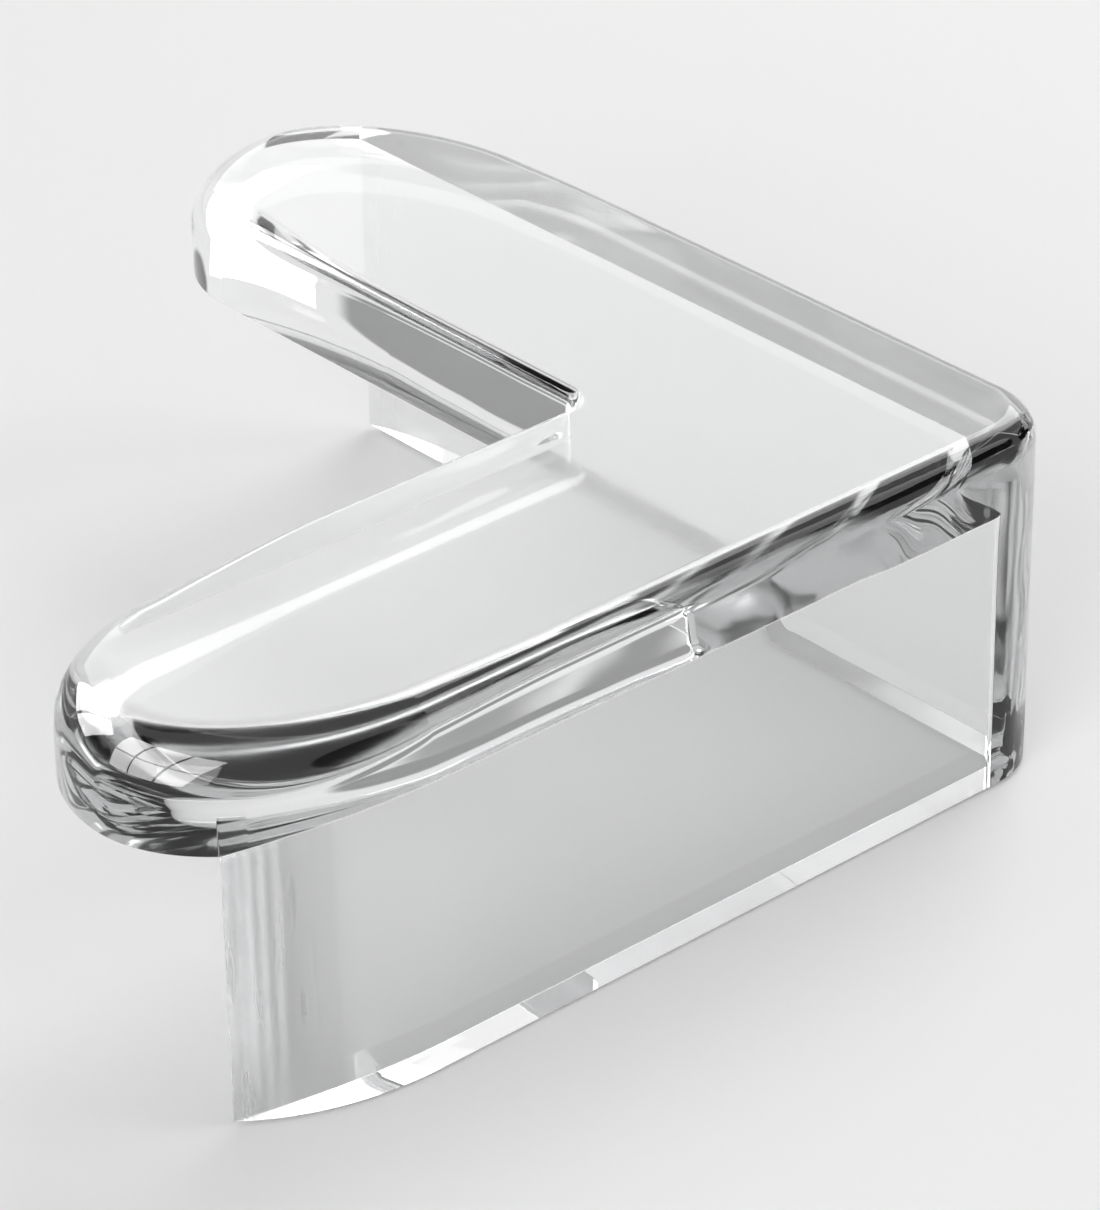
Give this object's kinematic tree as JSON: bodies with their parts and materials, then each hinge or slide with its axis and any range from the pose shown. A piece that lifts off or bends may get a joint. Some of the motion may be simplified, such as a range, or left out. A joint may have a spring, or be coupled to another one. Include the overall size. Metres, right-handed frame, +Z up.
{
  "type": "furniture corner protector",
  "caption": "Clear soft L-shaped corner guard: a flat pad with round-ended arms lies over a furniture corner, and a skirt hangs down along its outer sides.",
  "frame": {"origin": "middle of the bounding box in plan, at the lower edge of the skirt", "axes": "+Z up through the pad, the front arm runs along -X and the side arm along +Y, so the outer corner lies at +X, -Y"},
  "size_m": [0.06, 0.06, 0.022],
  "materials": {
    "clear_plastic": "clear, glossy"
  },
  "bodies": {
    "root": {"corner_protector": "clear_plastic"}
  },
  "joints": []
}
